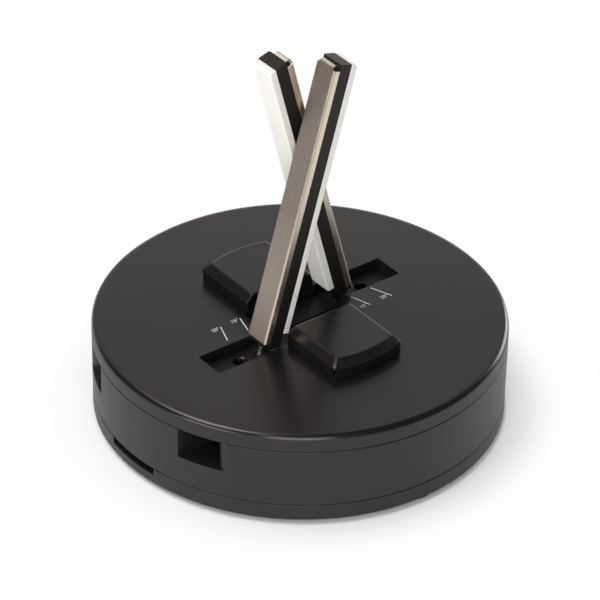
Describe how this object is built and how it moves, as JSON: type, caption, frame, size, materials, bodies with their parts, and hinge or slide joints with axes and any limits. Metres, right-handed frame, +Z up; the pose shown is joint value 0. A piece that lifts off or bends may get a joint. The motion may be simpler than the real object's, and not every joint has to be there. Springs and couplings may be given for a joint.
{
  "type": "manual knife sharpener",
  "caption": "Crossed-rod knife sharpener: a round moulded base holds removable leaning rods, diamond on one side and ceramic on the other, with storage bays in its wall.",
  "frame": {"origin": "on the table under the middle of the round base", "axes": "+Z up, +X along the rod slots away from the storage windows, -Y to the front"},
  "size_m": [0.14, 0.14, 0.135],
  "materials": {
    "black_moulding": "fine spark-eroded texture on black ABS",
    "rod_plastic": "satin moulded black plastic",
    "diamond_steel": "nickel plate full of fine diamond grit",
    "white_ceramic": "fine unglazed alumina, ground flat",
    "pin_steel": "drawn stainless steel",
    "screw_steel": "zinc plated",
    "foot_rubber": "matt moulded rubber"
  },
  "bodies": {
    "base": {"top_cover": "black_moulding", "body_shell": "black_moulding", "base_plate": "black_moulding", "front_foot": "foot_rubber", "right_foot": "foot_rubber", "left_foot": "foot_rubber", "rear_blade_stop": "black_moulding", "front_blade_stop": "black_moulding", "left_rod_socket": "black_moulding", "right_rod_socket": "black_moulding", "case_screws": "screw_steel", "blade_stop_screws": "screw_steel", "socket_screws": "screw_steel"},
    "front_rod": {"front_rod_core": "rod_plastic", "front_diamond_plate": "diamond_steel", "front_ceramic_plate": "white_ceramic", "front_foot_pin": "pin_steel"},
    "rear_rod": {"rear_rod_core": "rod_plastic", "rear_diamond_plate": "diamond_steel", "rear_ceramic_plate": "white_ceramic", "rear_foot_pin": "pin_steel"}
  },
  "joints": [
    {"name": "front_rod_lift", "type": "slide", "parent": "base", "child": "front_rod", "axis": [0.2672, 0, 0.9636], "range_m": [0, 0.025]},
    {"name": "rear_rod_lift", "type": "slide", "parent": "base", "child": "rear_rod", "axis": [-0.2672, 0, 0.9636], "range_m": [0, 0.025]}
  ]
}
